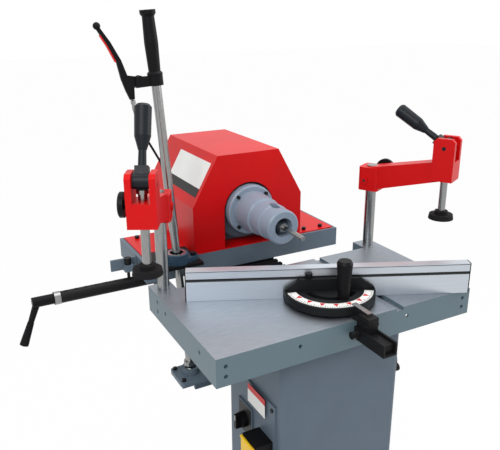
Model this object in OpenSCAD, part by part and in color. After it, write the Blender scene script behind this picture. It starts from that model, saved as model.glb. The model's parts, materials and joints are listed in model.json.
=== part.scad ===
// Horizontal slot mortiser: fixed table on a pedestal, motor head on cross slides,
// moved by one hand lever. Origin: floor, under the pedestal's centre. X runs along
// the table, Y from the operator to the head, Z up. Millimetres.

/* [Table] */
// Length of the table
table_l = 650; // [600:1:720]
// Depth of the table, lugs included
table_d = 373; // [366:1:390]
// Height of the table top above the floor
table_h = 820; // [790:1:860]
// Thickness of the table top
table_t = 12; // [8:1:16]
// Height of the table's skirt
skirt_h = 63; // [56:1:70]
// Thickness of the skirt
skirt_t = 5; // [3:1:8]
// Distance from the pedestal's centre to the table's front edge
table_front = 161; // [150:1:175]
// Width of each rear lug
lug_w = 54; // [48:1:60]
// Depth of the notch between the lugs
notch_d = 49; // [40:1:60]
// Width of the mitre slot
slot_w = 19; // [12:1:22]
// Depth of the mitre slot
slot_depth = 7; // [4:1:8]
// Distance of the mitre slot from the table's centre
slot_x = 117; // [100:1:150]

/* [Pedestal] */
// Width of the cabinet
cab_w = 317; // [300:1:340]
// Depth of the cabinet
cab_d = 258; // [240:1:270]
// Sheet thickness of the cabinet
cab_t = 3; // [2:0.5:5]
// Corner radius of the cabinet
cab_r = 18; // [10:1:30]
// Gap between the cabinet's top and the table's underside
cab_gap = 58; // [52:1:70]
// Width of the floor plate
plinth_w = 460; // [440:1:480]
// Depth of the floor plate
plinth_d = 640; // [620:1:650]
// Height of the floor plate
plinth_h = 16; // [12:1:24]
// Diameter of the floor bolt holes
floor_hole = 14; // [10:1:18]
// Diameter of a guide post under the table
post_dia = 30; // [24:1:36]
// Half the distance between the guide posts
post_x = 90; // [70:1:110]
// Distance of the guide posts behind the lift screw
post_y = 50; // [45:1:60]
// Diameter of the lift screw
screw_dia = 20; // [16:1:24]
// Diameter of the handwheel
wheel_dia = 150; // [120:1:180]

/* [Head] */
// Length of the head plate
plate_l = 583; // [575:1:600]
// Depth of the head plate
plate_d = 220; // [210:1:240]
// Height of the head plate
plate_h = 52; // [48:1:56]
// Sheet thickness of the head plate
plate_t = 4; // [3:0.5:6]
// Height of the head plate's top above the table
plate_rise = 9; // [6:1:14]
// Gap between the table's rear edge and the head plate
head_gap = 101; // [96:1:120]
// Height of the spindle above the table
spindle_z = 112; // [108:1:118]
// Width of the hood
hood_w = 324; // [310:1:340]
// Width of the hood's top
hood_top_w = 179; // [160:1:200]
// Height of the hood above its base
hood_h = 252; // [245:1:270]
// Height of the hood's shoulder above its base
hood_shoulder = 123; // [110:1:140]
// Depth of the hood
hood_d = 327; // [320:1:350]
// Sheet thickness of the hood
hood_t = 3; // [2:0.5:4]
// Diameter of the motor
motor_dia = 176; // [150:1:184]
// Length of the nose in front of the hood
nose_l = 176; // [165:1:190]
// Diameter of the nose's front end
nose_dia = 87; // [80:1:92]
// Diameter of the nose's flange
flange_dia = 134; // [126:1:140]
// Diameter of the spindle
spindle_dia = 24; // [18:1:28]
// Diameter of the chuck
chuck_dia = 38; // [30:1:41]
// Diameter of the bit
bit_dia = 12; // [6:1:16]
// Length of bit in front of the nose
bit_l = 88; // [60:1:100]

/* [Slides] */
// Diameter of the slide rails
rail_dia = 20; // [16:1:22]
// Half the distance between the depth rails
yrail_x = 65; // [55:1:70]
// Depth of the saddle
saddle_d = 160; // [150:1:170]
// Thickness of the saddle
saddle_t = 14; // [10:1:16]

/* [Lever] */
// Diameter of the lever's lower rod
rod_dia = 20; // [16:1:21]
// Diameter of the lever's upper bar
bar_dia = 22; // [21:1:24]
// Length of the lever above its pivot
lever_l = 918; // [880:1:960]
// Lean of the lever to the left, in degrees
lever_lean = 4; // [3.5:0.05:4.5]
// Bolt distance of the oval bearing unit
unit_bolts = 90; // [80:1:100]
// Side of the square foot unit
foot_side = 86; // [76:1:96]
// Length of the hand grip
grip_l = 138; // [120:1:150]
// Diameter of the hand grip
grip_dia = 31; // [28:1:34]

/* [Clamps] */
// Diameter of a clamp column
col_dia = 28; // [22:1:30]
// Distance from a clamp column to its spindle
arm_l = 192; // [180:1:205]
// Width of the arm's boss
boss_dia = 54; // [48:1:56]
// Height of the arm's boss
boss_h = 62; // [55:1:70]
// Rise of the arm from the column to the fork
arm_rise = 52; // [44:1:58]
// Width of the fork
fork_w = 58; // [56:1:66]
// Thickness of a fork ear
ear_t = 12; // [10:1:13]
// Height of the cam pin above the arm's underside
pin_z = 82; // [78:1:88]
// Radius of the cam
cam_r = 15; // [13:1:16]
// Throw of the cam
cam_throw = 6; // [4:0.5:6]
// Diameter of the clamp spindle
plunger_dia = 18; // [14:1:20]
// Diameter of the clamp pad
pad_dia = 62; // [50:1:70]
// Drop of the pad below the fork
pad_drop = 101; // [94:1:108]

/* [Mitre gauge] */
// Length of the fence
fence_l = 637; // [600:1:640]
// Height of the fence
fence_h = 72; // [60:1:80]
// Thickness of the fence
fence_t = 22; // [18:1:26]
// Angle of the fence to the table's front edge, in degrees
fence_angle = 24.6; // [20:0.1:28]
// Radius of the protractor
prot_r = 103; // [98:1:112]
// Distance of the gauge's pivot from the table's front edge
pivot_y = 118; // [110:1:125]
// Length of the guide channel in front of the table
channel_l = 96; // [85:1:110]
// Width of the guide channel
channel_w = 34; // [30:1:38]

/* [Index bar] */
// Diameter of the index bar
index_dia = 30; // [26:1:31]
// Length of the index bar
index_l = 244; // [230:1:250]
// Distance between index holes
index_pitch = 25; // [20:1:28]
// Diameter of the index pin
pin_dia = 8; // [6:1:9]

/* [Hidden] */
$fn = 64;
eps = 0.5;

// Clearances
run = 0.05;
gap = 0.3;

// Colours
red = [0.80, 0.07, 0.07];
grey = [0.36, 0.42, 0.48];
steel = [0.70, 0.72, 0.75];
black = [0.08, 0.08, 0.09];

// Places that follow from the sizes
front_y = -table_front;
rear_y = front_y + table_d;
notch_y = rear_y - notch_d;
notch_x = table_l / 2 - lug_w;
under_z = table_h - table_t;
skirt_z = table_h - skirt_h;
cab_top = under_z - cab_gap;
cab_rear = cab_d / 2;
lift_down = 40;

plate_y = rear_y + head_gap;
plate_top = table_h + plate_rise;
plate_z = plate_top - plate_h;
plate_x = -4;
base_sheet = 3;
hood_z = plate_top + base_sheet;
axis_z = table_h + spindle_z;
nose_y = plate_y - nose_l;

// Slides, stacked under the head plate
rail_r = rail_dia / 2;
block_h = 40;
block_l = 40;
plate_lid = 6;
xrail_z = plate_top - plate_lid - block_h / 2;
saddle_z = plate_z - 9 - saddle_t;
yrail_z = saddle_z - block_h / 2;
beam_top = saddle_z - block_h - 6;
saddle_y = plate_y + 57;
saddle_w = plate_l - 183;
head_travel_y = 80;
xrail_y = [saddle_y + 25, saddle_y + saddle_d - 25];
yblock_y = [saddle_y + 10, saddle_y + saddle_d - 10 - block_l];
yrail_start = yblock_y[0] - head_travel_y - 30;
yrail_end = yblock_y[1] + block_l + 40;
support_w = 20;
beam_w = 170;
beam_h = 190;

// Lever: pivot in the foot unit, drive point in the oval unit
pivot = [-202, plate_y - 36, table_h - 302];
drive_h = 341;
drive_x = pivot[0] - drive_h * tan(lever_lean);
drive_y = pivot[1];
ball_r = 15;
cup_h = 12;
bracket_t = 8;
unit_z = plate_top + bracket_t;

// Clamps: side, column place, arm height over the table, swing of the arm, lean of the handle
col_x = table_l / 2 - lug_w / 2;
col_y = rear_y - notch_d / 2 - 6;
arm_z_left = table_h + 170;
arm_z_right = table_h + 159;
swing_left = -118;
swing_right = -62;
lean_left = 26;
lean_right = 58;

// Mitre gauge
gauge_x = 11;
bar_t = 4;
gauge_y = front_y + pivot_y;
channel_wall = 4;
channel_h = 28;
channel_top = table_h - 12;

// Index bar
index_y = plate_y + 66;
index_z = plate_z - 2 - index_dia / 2;
plate_left = plate_x - plate_l / 2;
index_right = plate_left + 40.5;
index_left = index_right - index_l;
plunger_x = plate_left - 26.5;

// Basic shapes
module rounded(w, d, r) {
    square([w - 2 * r, d], center = true);
    square([w, d - 2 * r], center = true);
    for (sx = [-1, 1], sy = [-1, 1]) translate([sx * (w / 2 - r), sy * (d / 2 - r)]) circle(r);
}
module box(a, b) { translate(a) cube(b - a); }
module along_x(x0, x1, y, z, r) { translate([x0, y, z]) rotate([0, 90, 0]) cylinder(h = x1 - x0, r = r); }
module along_y(y0, y1, x, z, r) { translate([x, y0, z]) rotate([-90, 0, 0]) cylinder(h = y1 - y0, r = r); }
module upright(x, y, z0, z1, r) { translate([x, y, z0]) cylinder(h = z1 - z0, r = r); }

// Pedestal
module base_plinth() {
    hole_x = plinth_w / 2 - 30;
    color(grey) translate([0, front_y + plinth_d / 2, 0]) difference() {
        linear_extrude(plinth_h) rounded(plinth_w, plinth_d, 12);
        for (sx = [-1, 1], sy = [-1, 1])
            upright(sx * hole_x, sy * (plinth_d / 2 - 30), -eps, plinth_h + eps, floor_hole / 2);
    }
}
shelf_z = cab_top - 190;
gear_far = 28;
gear_near = 16;
apex_z = shelf_z + 6 + gear_far + 12;
shaft_r = 8;
module cabinet() {
    inner_h = cab_top - plinth_h - cab_t;
    color(grey) difference() {
        union() {
            translate([0, 0, plinth_h]) difference() {
                linear_extrude(cab_top - plinth_h) rounded(cab_w, cab_d, cab_r);
                translate([0, 0, -eps]) linear_extrude(inner_h + eps)
                    rounded(cab_w - 2 * cab_t, cab_d - 2 * cab_t, cab_r - cab_t);
            }
            // Shelf that carries the lift screw, and the bushes of the posts and the crank shaft
            translate([0, 0, shelf_z]) linear_extrude(6)
                rounded(cab_w - 2 * cab_t, cab_d - 2 * cab_t, cab_r - cab_t);
            for (s = [-1, 1]) upright(s * post_x, post_y, cab_top - 40, cab_top, post_dia / 2 + 8);
            along_x(cab_w / 2 - 24, cab_w / 2, 0, apex_z, shaft_r + 8);
        }
        for (s = [-1, 1]) upright(s * post_x, post_y, cab_top - 41, cab_top + eps, post_dia / 2 + run);
        for (s = [-1, 1]) upright(s * post_x, post_y, shelf_z - eps, shelf_z + 6 + eps, post_dia / 2 + 3);
        upright(0, 0, cab_top - 41, cab_top + eps, screw_dia / 2 + 15);
        along_x(cab_w / 2 - 25, cab_w / 2 + eps, 0, apex_z, shaft_r + run);
    }
}
panel_y0 = front_y + 58;
panel_z1 = table_h - 198;
panel_h = 300;
panel_t = 4;
panel_x = -cab_w / 2 - panel_t;
knob_y = front_y + 188;
knob_z = table_h - 306;
module control_panel() {
    color(grey) difference() {
        union() {
            box([panel_x, panel_y0, panel_z1 - panel_h], [panel_x + panel_t, cab_rear - cab_r, panel_z1]);
            box([panel_x - 5, knob_y - 34, knob_z - 42], [panel_x, knob_y + 34, knob_z + 42]);
        }
        along_x(panel_x - 6, panel_x + 10, knob_y, knob_z, 5 + run);
    }
}
module selector_knob() {
    color(black) {
        along_x(panel_x - 8, panel_x + panel_t, knob_y, knob_z, 5);
        along_x(panel_x - 19, panel_x - 5 - gap, knob_y, knob_z, 19);
        box([panel_x - 32, knob_y - 5, knob_z - 18], [panel_x - 18, knob_y + 5, knob_z + 18]);
    }
}
box_y0 = front_y + 66;
box_y1 = box_y0 + 62;
box_z1 = table_h - 292;
box_z0 = box_z1 - 112;
box_x = panel_x - 44;
stop_y = (box_y0 + box_y1) / 2;
stop_z = box_z0 + 26;
module switch_box() {
    color(black) difference() {
        box([box_x, box_y0, box_z0], [panel_x, box_y1, box_z1]);
        along_x(box_x - eps, box_x + 12, stop_y, stop_z, 7 + run);
        box([box_x - eps, box_y0 + 10, box_z0 + 54], [box_x + 10, box_y1 - 10, box_z1 - 14]);
    }
}
flap_z = box_z1 - 4;
module switch_flap() {
    color([0.95, 0.75, 0.05]) difference() {
        union() {
            box([box_x - 5, box_y0 + 3, box_z0 + 50], [box_x - gap, box_y1 - 3, flap_z]);
            along_y(box_y0 + 3, box_y1 - 3, box_x - 4, flap_z, 3.5);
            box([box_x - 14, box_y0 + 14, box_z0 + 50], [box_x - 4, box_y1 - 14, box_z0 + 56]);
        }
        box([box_x - gap, box_y0, box_z0 + 40], [box_x + 10, box_y1, box_z1 + 10]);
    }
}
module stop_button() {
    color(red) {
        along_x(box_x - 12, box_x + 5, stop_y, stop_z, 7);
        along_x(box_x - 20, box_x - 8, stop_y, stop_z, 18);
    }
}

// Beam that carries the depth rails behind the pedestal
module head_beam() {
    color(grey) difference() {
        union() {
            box([-beam_w / 2, cab_rear, beam_top - beam_h], [beam_w / 2, yrail_end + 10, beam_top]);
            translate([-8, cab_rear, beam_top - beam_h]) rotate([90, 0, 90])
                linear_extrude(16) polygon([[0, 0], [yrail_end - cab_rear - 60, 0], [0, -220]]);
        }
        box([-beam_w / 2 + 6, cab_rear + 6, beam_top - beam_h + 6],
            [beam_w / 2 - 6, yrail_end + 11, beam_top - 6]);
    }
}
module y_rails() {
    color(steel) for (s = [-1, 1]) {
        along_y(yrail_start, yrail_end, s * yrail_x, yrail_z, rail_r);
        for (y = [yrail_start, yrail_end - support_w])
            box([s * yrail_x - 15, y, beam_top], [s * yrail_x + 15, y + support_w, yrail_z + 4]);
    }
}

// Lift screw with its bevel wheel, and the crank shaft with its handwheel
module lift_screw() {
    color(steel) {
        upright(0, 0, shelf_z + 6, under_z - lift_down - 2, screw_dia / 2);
        translate([0, 0, apex_z - gear_far])
            cylinder(h = gear_far - gear_near, r1 = gear_far - gap, r2 = gear_near - gap);
    }
}
wheel_x = cab_w / 2 + 40;
module handwheel() {
    rim_r = 8;
    ring_r = wheel_dia / 2 - rim_r;
    color(black) {
        along_x(gear_far, wheel_x + 20, 0, apex_z, shaft_r);
        translate([gear_near, 0, apex_z]) rotate([0, 90, 0])
            cylinder(h = gear_far - gear_near, r1 = gear_near - gap, r2 = gear_far - gap);
        along_x(wheel_x - 16, wheel_x + 16, 0, apex_z, 18);
        translate([wheel_x, 0, apex_z]) rotate([0, 90, 0]) {
            rotate_extrude() translate([ring_r, 0]) circle(rim_r);
            for (a = [0, 120, 240]) rotate([0, 0, a]) translate([0, -7, -5]) cube([ring_r, 14, 10]);
            translate([ring_r, 0, 0]) cylinder(h = 70, r = 5);
            translate([ring_r, 0, 12]) cylinder(h = 62, r = 11);
        }
    }
}

// Table
function outline(i) = [[-table_l / 2 + i, front_y + i], [table_l / 2 - i, front_y + i],
    [table_l / 2 - i, rear_y - i],
    [notch_x + i, rear_y - i], [notch_x + i, notch_y - i], [-notch_x - i, notch_y - i],
    [-notch_x - i, rear_y - i], [-table_l / 2 + i, rear_y - i]];
skirt_hole = 4.5;
single_x = table_l / 2 - 187;
pair_x = table_l / 2 - 21;
module side_hole(s, y, z) {
    x = s * (table_l / 2 - skirt_t / 2);
    along_x(x - skirt_t / 2 - eps, x + skirt_t / 2 + eps, y, z, skirt_hole);
}
module table_top() {
    color(steel) difference() {
        union() {
            difference() {
                translate([0, 0, skirt_z]) linear_extrude(skirt_h) polygon(outline(0));
                translate([0, 0, skirt_z - eps]) linear_extrude(skirt_h - table_t + eps)
                    polygon(outline(skirt_t));
            }
            for (s = [-1, 1]) upright(s * col_x, col_y, skirt_z, under_z, col_dia / 2 + 5);
        }
        for (s = [-1, 1]) upright(s * col_x, col_y, skirt_z - eps, table_h + eps, col_dia / 2 + run);
        box([slot_x - slot_w / 2, front_y - eps, table_h - slot_depth],
            [slot_x + slot_w / 2, notch_y + eps, table_h + eps]);
        for (s = [-1, 1]) {
            along_y(front_y - eps, front_y + skirt_t + eps, s * single_x, table_h - 24, skirt_hole);
            for (y = [76, 263]) side_hole(s, front_y + y, table_h - 24);
            for (z = [17, 41]) side_hole(s, front_y + 314, table_h - z);
            for (z = [20, 42]) along_y(front_y - eps, front_y + skirt_t + eps, s * pair_x, table_h - z,
                skirt_hole);
        }
    }
}
nut_z = under_z - 108;
module guide_posts() {
    color(steel) {
        for (s = [-1, 1]) upright(s * post_x, post_y, cab_top - 150, under_z, post_dia / 2);
        difference() {
            upright(0, 0, nut_z, under_z, screw_dia / 2 + 10);
            upright(0, 0, nut_z - eps, under_z - 1, screw_dia / 2 + run);
        }
    }
}
module gauge_channel() {
    color(black) along_x(gauge_x - channel_w / 2 - 18, gauge_x - channel_w / 2, front_y - 14,
        channel_top - 12, 8);
    color(black) difference() {
        box([gauge_x - channel_w / 2, front_y - channel_l, channel_top - channel_h],
            [gauge_x + channel_w / 2, front_y, channel_top]);
        box([gauge_x - channel_w / 2 + channel_wall, front_y - channel_l - eps,
            channel_top - channel_h + channel_wall],
            [gauge_x + channel_w / 2 - channel_wall, front_y - 2, channel_top + eps]);
    }
}

// Clamps
module clamp_place(side) {
    x = side * col_x;
    z = side < 0 ? arm_z_left : arm_z_right;
    swing = side < 0 ? swing_left : swing_right;
    translate([x, col_y, z]) rotate([0, 0, swing]) children();
}
module column(side) {
    top = (side < 0 ? arm_z_left : arm_z_right) + boss_h + 3;
    color(steel) upright(side * col_x, col_y, skirt_z + 3, top, col_dia / 2);
}
body_top = 50;
ear_top = pin_z + 24;
body_l = 52;
arm_w = 44;
knob_r = 25;
knob_t = 9;
stud_clear = 6;
stud_dia = 10;
// Start of the lock stud, clear of the column and of the spindle
stud_in = 20;
// The left knob sits on the fork, the right one on the boss
function knob_at(side) = side < 0 ? arm_l : 22;
function knob_rise(side) = side < 0 ? arm_rise + 42 : 51;
function knob_side(side) = side < 0 ? fork_w / 2 : boss_dia / 2;
module fork_place(side) { clamp_place(side) translate([arm_l, 0, arm_rise]) children(); }
module knob_place(side) {
    clamp_place(side) translate([knob_at(side), 0, knob_rise(side)]) rotate([-90 * side, 0, 0]) children();
}
module fork_body() {
    box([-body_l / 2, -fork_w / 2, 0], [body_l / 2, fork_w / 2, body_top]);
    for (s = [-1, 1]) translate([0, s * (fork_w - ear_t) / 2 + ear_t / 2, 0]) rotate([90, 0, 0])
        linear_extrude(ear_t) polygon([[-body_l / 2, 0], [body_l / 2, 0], [body_l / 2, ear_top - 8],
            [body_l / 2 - 8, ear_top], [8 - body_l / 2, ear_top], [-body_l / 2, ear_top - 8]]);
}
module arm(side) {
    color(red) difference() {
        union() {
            clamp_place(side) linear_extrude(boss_h) rounded(boss_dia, boss_dia, 8);
            clamp_place(side) translate([0, arm_w / 2, 0]) rotate([90, 0, 0]) linear_extrude(arm_w)
                polygon([[0, 0], [arm_l, arm_rise], [arm_l, arm_rise + body_top], [0, boss_h]]);
            fork_place(side) fork_body();
        }
        clamp_place(side) translate([0, 0, -eps]) cylinder(h = boss_h + 20, r = col_dia / 2 + run);
        fork_place(side) translate([0, 0, -arm_rise])
            cylinder(h = arm_rise + body_top + 1, r = plunger_dia / 2 + run);
        fork_place(side) translate([0, 0, pin_z]) rotate([90, 0, 0])
            cylinder(h = fork_w + 1, r = 5 + run, center = true);
        knob_place(side) translate([0, 0, stud_in - 1]) cylinder(h = arm_w, r = stud_dia / 2 + run);
    }
}
module lock_knob(side) {
    face = knob_side(side);
    color(black) knob_place(side) {
        translate([0, 0, stud_in]) cylinder(h = face - stud_in + stud_clear + 1, r = stud_dia / 2);
        translate([0, 0, face + gap]) cylinder(h = stud_clear, r = 9);
        translate([0, 0, face + stud_clear]) cylinder(h = knob_t, r = knob_r);
        translate([0, 0, face + stud_clear + knob_t]) cylinder(h = 2, r1 = knob_r, r2 = knob_r - 3);
    }
}
handle_l = 154;
stem_l = 66;
neck_l = 26;
grip_r = 17;
module cam_lever(side) {
    lean = side < 0 ? lean_left : lean_right;
    gap_w = fork_w - 2 * ear_t - 1;
    color(black) fork_place(side) translate([0, 0, pin_z]) {
        rotate([90, 0, 0]) cylinder(h = fork_w, r = 5, center = true);
        translate([0, 0, cam_throw]) rotate([90, 0, 0]) cylinder(h = gap_w, r = cam_r, center = true);
        rotate([0, -lean, 0]) {
            cylinder(h = stem_l + 5, r1 = 9, r2 = 7.5);
            translate([0, 0, stem_l]) cylinder(h = neck_l, r1 = 8.5, r2 = grip_r - 1);
            translate([0, 0, stem_l + neck_l])
                cylinder(h = handle_l - stem_l - neck_l - 5, r1 = grip_r - 1, r2 = grip_r);
            translate([0, 0, handle_l - 5]) cylinder(h = 5, r1 = grip_r, r2 = grip_r - 4);
        }
    }
}
pad_t = 12;
hub_h = 9;
module plunger(side) {
    top = pin_z + cam_throw - cam_r - gap;
    color(steel) fork_place(side) {
        translate([0, 0, pad_t - pad_drop]) cylinder(h = top + pad_drop - pad_t, r = plunger_dia / 2);
        translate([0, 0, top - 8]) cylinder(h = 8, r = plunger_dia / 2 + 3);
    }
}
module pad(side) {
    color(black) fork_place(side) translate([0, 0, -pad_drop]) difference() {
        union() {
            cylinder(h = pad_t, r1 = pad_dia / 2, r2 = pad_dia / 2 - 2);
            cylinder(h = pad_t + hub_h, r = plunger_dia / 2 + 7);
        }
        translate([0, 0, pad_t]) cylinder(h = hub_h + 1, r = plunger_dia / 2 + run);
    }
}
module column_left() { column(-1); }
module column_right() { column(1); }
module arm_left() { arm(-1); }
module arm_right() { arm(1); }
module knob_left() { lock_knob(-1); }
module knob_right() { lock_knob(1); }
module cam_left() { cam_lever(-1); }
module cam_right() { cam_lever(1); }
module plunger_left() { plunger(-1); }
module plunger_right() { plunger(1); }
module pad_left() { pad(-1); }
module pad_right() { pad(1); }

// Mitre gauge: slide in the channel, protractor and fence turned on its pivot
slide_w = channel_w - 2 * channel_wall - 2 * gap;
stud_r = 5;
handle_at = 54;
pivot_r = 6;
prot_h = 18;
prot_z = table_h + bar_t + gap;
module gauge_slide() {
    block_y = front_y - 40;
    slide_y = front_y - channel_l + 8;
    color(black) {
        box([gauge_x - slide_w / 2, slide_y, channel_top - channel_h + channel_wall],
            [gauge_x + slide_w / 2, front_y - 2.5, channel_top - 6]);
        box([gauge_x - slide_w / 2, block_y, channel_top - 6],
            [gauge_x + slide_w / 2, front_y - 2.5, table_h + gap]);
        box([gauge_x - 15, block_y, table_h + gap], [gauge_x + 15, gauge_y + 18, table_h + bar_t]);
        box([gauge_x - 13, block_y, table_h + bar_t], [gauge_x + 13, block_y + 34, table_h + bar_t + 14]);
        upright(gauge_x, gauge_y, table_h + bar_t, prot_z + prot_h + 4, pivot_r);
        upright(gauge_x, gauge_y - handle_at, table_h + bar_t, prot_z + prot_h + 30, stud_r);
    }
}
module gauge_place() { translate([gauge_x, gauge_y, prot_z]) rotate([0, 0, -fence_angle]) children(); }
module protractor() {
    slot_r = stud_r + 2;
    color(black) gauge_place() difference() {
        union() {
            intersection() {
                cylinder(h = prot_h, r = prot_r);
                box([-prot_r, -prot_r - 1, 0], [prot_r, 0, prot_h]);
            }
            rotate([90, 0, 0]) linear_extrude(12) polygon([[-prot_r + 4, 0], [prot_r - 4, 0],
                [prot_r - 4, prot_h + 6], [prot_r - 36, 46], [36 - prot_r, 46], [4 - prot_r, prot_h + 6]]);
            cylinder(h = prot_h, r = 16);
        }
        translate([0, 0, -eps]) cylinder(h = prot_h + 1, r = pivot_r + run);
        translate([0, 0, prot_h]) cylinder(h = 5, r = pivot_r + 4);
        // Curved slot for the locking stud
        translate([0, 0, -eps]) intersection() {
            difference() {
                cylinder(h = prot_h + 1, r = handle_at + slot_r);
                translate([0, 0, -eps]) cylinder(h = prot_h + 3, r = handle_at - slot_r);
            }
            linear_extrude(prot_h + 1) polygon([[0, 0], for (a = [-160 : 10 : -20]) 90 * [cos(a), sin(a)]]);
        }
    }
}
module fence() {
    color([0.72, 0.76, 0.80]) gauge_place() translate([0, 0, -bar_t]) difference() {
        box([-fence_l / 2, 0, 0], [fence_l / 2, fence_t, fence_h]);
        // Room for the slide's end and for the pivot
        translate([0, 0, -eps]) cylinder(h = bar_t + eps, r = 26);
        translate([0, 0, -eps]) cylinder(h = bar_t + prot_h + 6, r = 16 + gap);
        box([-fence_l / 2 - 1, -eps, fence_h - 26], [fence_l / 2 + 1, 4, fence_h - 19]);
        box([-fence_l / 2 - 1, -eps, fence_h - 3.5], [fence_l / 2 + 1, 1, fence_h - 2]);
        box([-fence_l / 2 - 1, 7, 6], [fence_l / 2 + 1, fence_t - 3, fence_h - 30]);
        box([-fence_l / 2 - 1, 7, fence_h - 16], [fence_l / 2 + 1, fence_t - 3, fence_h - 4]);
    }
}
module lock_handle() {
    z = prot_z + prot_h + gap;
    color(black) translate([gauge_x, gauge_y - handle_at, z]) difference() {
        union() {
            cylinder(h = 4, r = 13);
            cylinder(h = 80, r1 = 12, r2 = 17.5);
            translate([0, 0, 80]) cylinder(h = 6, r1 = 17.5, r2 = 14);
        }
        translate([0, 0, -eps]) cylinder(h = 32, r = stud_r + run);
    }
}

// Saddle: runs on the depth rails and carries the cross rails and the index bar
module saddle() {
    color(grey) difference() {
        union() {
            box([-saddle_w / 2, saddle_y, saddle_z],
                [saddle_w / 2, saddle_y + saddle_d, saddle_z + saddle_t]);
            for (s = [-1, 1], y = yblock_y)
                box([s * yrail_x - 19, y, saddle_z - block_h + 4],
                    [s * yrail_x + 19, y + block_l, saddle_z]);
        }
        for (s = [-1, 1], y = yblock_y)
            along_y(y - eps, y + block_l + eps, s * yrail_x, yrail_z, rail_r + run);
    }
}
// Pleated cover over the depth rails' front, carried by the saddle
cover_w = 176;
cover_l = 108;
cover_z = beam_top + 4;
module way_cover() {
    pleats = 9;
    pitch = cover_l / pleats;
    color(black) for (i = [0 : pleats - 1]) translate([0, saddle_y - (i + 1) * pitch, cover_z])
        difference() {
        in = i % 2 == 0 ? 0 : 4;
        h = saddle_z + saddle_t - cover_z - in;
        translate([-cover_w / 2 + in, 0, 0]) cube([cover_w - 2 * in, pitch, h]);
        translate([-cover_w / 2 + 6, -eps, -eps])
            cube([cover_w - 12, pitch + 1, saddle_z + saddle_t - cover_z - 6 + eps]);
    }
}
module x_rails() {
    edge = saddle_w / 2 - 4;
    color(steel) for (y = xrail_y) {
        along_x(-edge, edge, y, xrail_z, rail_r);
        for (x = [-edge, edge - support_w])
            box([x, y - 15, saddle_z + saddle_t], [x + support_w, y + 15, xrail_z + 4]);
    }
}
spigot_r = 10;
module index_bracket() {
    x1 = index_right + 30;
    color(grey) difference() {
        union() {
            box([index_right + gap, index_y - 20, index_z - 20], [x1, index_y + 20, index_z + 14]);
            box([x1, index_y - 18, saddle_z], [-saddle_w / 2, index_y + 18, saddle_z + saddle_t]);
        }
        along_x(index_right - 1, x1 + 1, index_y, index_z, spigot_r + run);
    }
}
module index_bar() {
    holes = 7;
    color(black) difference() {
        union() {
            along_x(index_left, index_right, index_y, index_z, index_dia / 2);
            along_x(index_right, index_right + 30, index_y, index_z, spigot_r);
            along_x(index_left - 16, index_left, index_y, index_z, index_dia / 2 + 1);
        }
        for (i = [0 : holes - 1]) upright(plunger_x - (i + 0.5) * index_pitch, index_y, index_z + 2,
            index_z + 20, pin_dia / 2 + 0.1);
    }
}
module index_lever() {
    x = index_left - 16;
    color(black) {
        along_x(x - 52, x, index_y, index_z, 13);
        translate([x - 40, index_y, index_z]) rotate([0, 22, 0]) {
            translate([0, 0, -60]) cylinder(h = 60, r1 = 7, r2 = 9);
            translate([0, 0, -115]) cylinder(h = 60, r1 = 11, r2 = 8);
        }
    }
}

// Head
module head_plate() {
    x0 = plate_x - plate_l / 2;
    color(grey) difference() {
        box([x0, plate_y, plate_z], [x0 + plate_l, plate_y + plate_d, plate_top]);
        box([x0 + plate_t, plate_y + plate_t, plate_z - eps],
            [x0 + plate_l - plate_t, plate_y + plate_d - plate_t, plate_top - plate_lid]);
    }
}
xblock_x = [46 - saddle_w / 2, saddle_w / 2 - 164];
module x_blocks() {
    color(steel) for (y = xrail_y, x = xblock_x) difference() {
        box([x, y - 18, xrail_z - block_h / 2 + 4], [x + block_l, y + 18, plate_top - plate_lid]);
        along_x(x - eps, x + block_l + eps, y, xrail_z, rail_r + run);
    }
}
wing_x = hood_w / 2 + 4;
wing_y = plate_y + 58;
module hood_base() {
    x0 = plate_x - plate_l / 2 + 10;
    color(red) {
        box([-wing_x, plate_y + 2, plate_top], [wing_x, plate_y + 2 + hood_d, hood_z]);
        box([x0, wing_y, plate_top], [-wing_x, plate_y + plate_d - 8, hood_z]);
        box([wing_x, plate_y + 8, plate_top], [-x0 + 2 * plate_x, plate_y + plate_d - 8, hood_z]);
    }
}
function hood_profile(i) = [[-hood_w / 2 + i, -i], [-hood_w / 2 + i, hood_shoulder],
    [-hood_top_w / 2, hood_h - i],
    [hood_top_w / 2, hood_h - i], [hood_w / 2 - i, hood_shoulder], [hood_w / 2 - i, -i]];
arch_r = flange_dia / 2 + 6;
module hood() {
    color(red) translate([0, plate_y + 2 + hood_d, hood_z]) rotate([90, 0, 0]) difference() {
        linear_extrude(hood_d) intersection() {
            polygon(hood_profile(0));
            translate([-hood_w, 0]) square([2 * hood_w, hood_h + 1]);
        }
        translate([0, 0, hood_t]) linear_extrude(hood_d - 2 * hood_t) polygon(hood_profile(hood_t));
        translate([0, axis_z - hood_z, hood_d - 10]) cylinder(h = 20, r = arch_r);
        translate([-arch_r, -eps, hood_d - 10]) cube([2 * arch_r, axis_z - hood_z, 20]);
        for (i = [-4 : 4]) translate([i * 16 - 3, 60, -1]) cube([6, 90, hood_t + 2]);
    }
}
motor_y0 = plate_y + 30;
motor_y1 = plate_y + 300;
module motor() {
    color(grey) difference() {
        union() {
            along_y(motor_y0, motor_y1, 0, axis_z, motor_dia / 2);
            for (y = [motor_y0 + 30, motor_y1 - 70])
                box([-70, y, hood_z], [70, y + 40, axis_z - motor_dia / 2 + 20]);
        }
        along_y(motor_y0 - 1, motor_y1 + 1, 0, axis_z, spindle_dia / 2 + run);
        along_y(motor_y0 + 20, motor_y1 + 1, 0, axis_z, motor_dia / 2 - 18);
    }
}
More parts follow.
